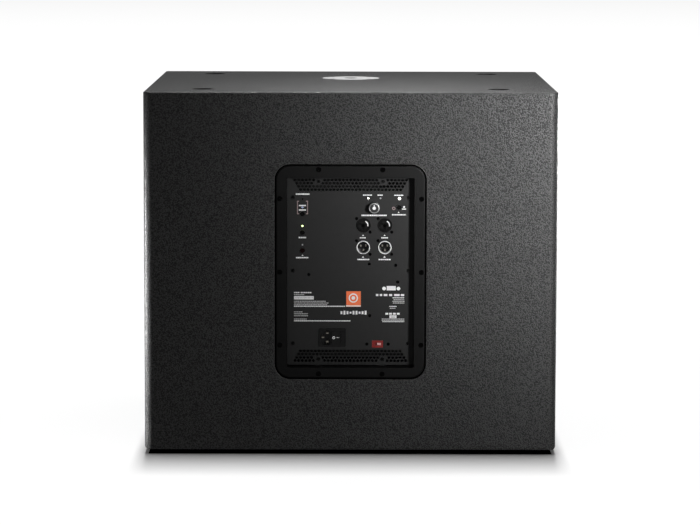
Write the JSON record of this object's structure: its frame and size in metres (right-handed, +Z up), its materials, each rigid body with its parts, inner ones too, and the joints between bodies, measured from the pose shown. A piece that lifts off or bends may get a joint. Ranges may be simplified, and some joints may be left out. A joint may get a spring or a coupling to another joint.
{
  "type": "powered subwoofer",
  "caption": "Powered bass loudspeaker cabinet with rear amplifier panel, side handles, pole socket, front grille and stacking recesses.",
  "frame": {"origin": "on the floor, under the middle of the cabinet's outline", "axes": "+X to the right seen from the front, +Y out of the rear panel that holds the amplifier, +Z up; the grille faces -Y"},
  "size_m": [0.668, 0.62, 0.589],
  "materials": {
    "textured_paint": "black textured paint on plywood",
    "baffle_paint": "flat black paint on plywood",
    "birch_ply": "bare plywood",
    "grille_steel": "black powder coat, perforated",
    "acoustic_foam": "open-cell black foam",
    "light_bar": "frosted clear",
    "black_plastic": "fine moulded texture",
    "socket_plastic": "satin moulded",
    "zinc": "bright zinc, turned",
    "rubber": "matt",
    "black_screws": "black zinc",
    "bright_screws": "dark nickel",
    "basket_metal": "black coated casting",
    "steel": "zinc plated",
    "ferrite": "ground ceramic",
    "copper": "enamelled wire",
    "cone_pulp": "coated paper pulp",
    "surround_cloth": "treated cloth",
    "spider_cloth": "resin-treated cloth",
    "amp_paint": "fine black powder coat",
    "sheet_steel": "galvanised",
    "aluminium": "extruded",
    "circuit_board": "solder mask",
    "ferrite_core": "taped winding",
    "chrome": "polished nickel",
    "fuse_glass": "clear",
    "selector_red": "moulded",
    "lens": "clear light pipe",
    "cable_jacket": "PVC"
  },
  "bodies": {
    "cabinet": {"top_panel": "textured_paint", "bottom_panel": "textured_paint", "left_panel": "textured_paint", "right_panel": "textured_paint", "rear_panel": "textured_paint", "front_baffle": "baffle_paint", "window_brace": "birch_ply", "front_grille": "grille_steel", "grille_foam": "acoustic_foam", "front_light": "light_bar", "port_tube_left": "black_plastic", "port_tube_right": "black_plastic", "handle_left": "black_plastic", "handle_right": "black_plastic", "stacking_cups": "black_plastic", "combo_sockets": "socket_plastic", "thru_inserts": "socket_plastic", "mains_inlet": "socket_plastic", "pole_cup": "zinc", "rubber_feet": "rubber", "woofer_gasket": "rubber", "cabinet_screws": "black_screws", "grille_screws": "black_screws", "woofer_bolts": "black_screws", "amp_frame_screws": "black_screws", "panel_screws": "black_screws", "amp_plate_screws": "bright_screws", "woofer_basket": "basket_metal", "woofer_top_plate": "steel", "woofer_back_plate": "steel", "woofer_magnet": "ferrite", "amp_frame": "amp_paint", "amp_plate": "amp_paint", "amp_back_cover": "sheet_steel", "heat_sink": "aluminium", "amplifier_board": "circuit_board", "power_board": "circuit_board", "input_board": "circuit_board", "transformer": "ferrite_core", "thru_rings": "chrome", "thru_pins": "chrome", "inlet_pins": "chrome", "selector_housing": "selector_red", "indicator_lenses": "lens", "speaker_cable": "cable_jacket"},
    "driver_cone": {"cone": "cone_pulp", "dust_cap": "cone_pulp", "voice_coil": "copper", "surround": "surround_cloth", "spider": "spider_cloth"},
    "volume_control": {"volume_knob": "black_plastic", "volume_shaft": "steel"},
    "front_light_button": {"light_button": "black_plastic"},
    "stereo_link_button": {"link_button": "black_plastic"},
    "eq_button": {"equaliser_button": "black_plastic"},
    "phase_button": {"polarity_button": "black_plastic"},
    "power_switch": {"power_rocker": "socket_plastic"},
    "voltage_slider": {"selector_slide": "selector_red"},
    "fuse_tray": {"fuse_drawer": "socket_plastic", "fuse": "fuse_glass"}
  },
  "joints": [
    {"name": "cone_travel", "type": "slide", "parent": "cabinet", "child": "driver_cone", "axis": [0, -1, 0], "range_m": [-0.009, 0.009], "stiffness_N_per_m": 7700, "deforming": ["surround", "spider"]},
    {"name": "volume_turn", "type": "hinge", "parent": "cabinet", "child": "volume_control", "pos_m": [-0.0381, 0.288, 0.4017], "axis": [0, -1, 0], "range_deg": [-150, 150]},
    {"name": "front_light_press", "type": "slide", "parent": "cabinet", "child": "front_light_button", "axis": [0, -1, 0], "range_m": [0, 0.0015], "stiffness_N_per_m": 1000},
    {"name": "link_press", "type": "slide", "parent": "cabinet", "child": "stereo_link_button", "axis": [0, -1, 0], "range_m": [0, 0.0015], "stiffness_N_per_m": 1000},
    {"name": "equaliser_press", "type": "slide", "parent": "cabinet", "child": "eq_button", "axis": [0, -1, 0], "range_m": [0, 0.0015], "stiffness_N_per_m": 1000},
    {"name": "polarity_press", "type": "slide", "parent": "cabinet", "child": "phase_button", "axis": [0, -1, 0], "range_m": [0, 0.0015], "stiffness_N_per_m": 1000},
    {"name": "power_rock", "type": "hinge", "parent": "cabinet", "child": "power_switch", "pos_m": [0.0239, 0.2894, 0.1893], "axis": [0, 0, -1], "range_deg": [0, 24]},
    {"name": "voltage_slide", "type": "slide", "parent": "cabinet", "child": "voltage_slider", "axis": [1, 0, 0], "range_m": [0, 0.005]},
    {"name": "fuse_drawer_slide", "type": "slide", "parent": "cabinet", "child": "fuse_tray", "axis": [0, 1, 0], "range_m": [0, 0.024]}
  ]
}
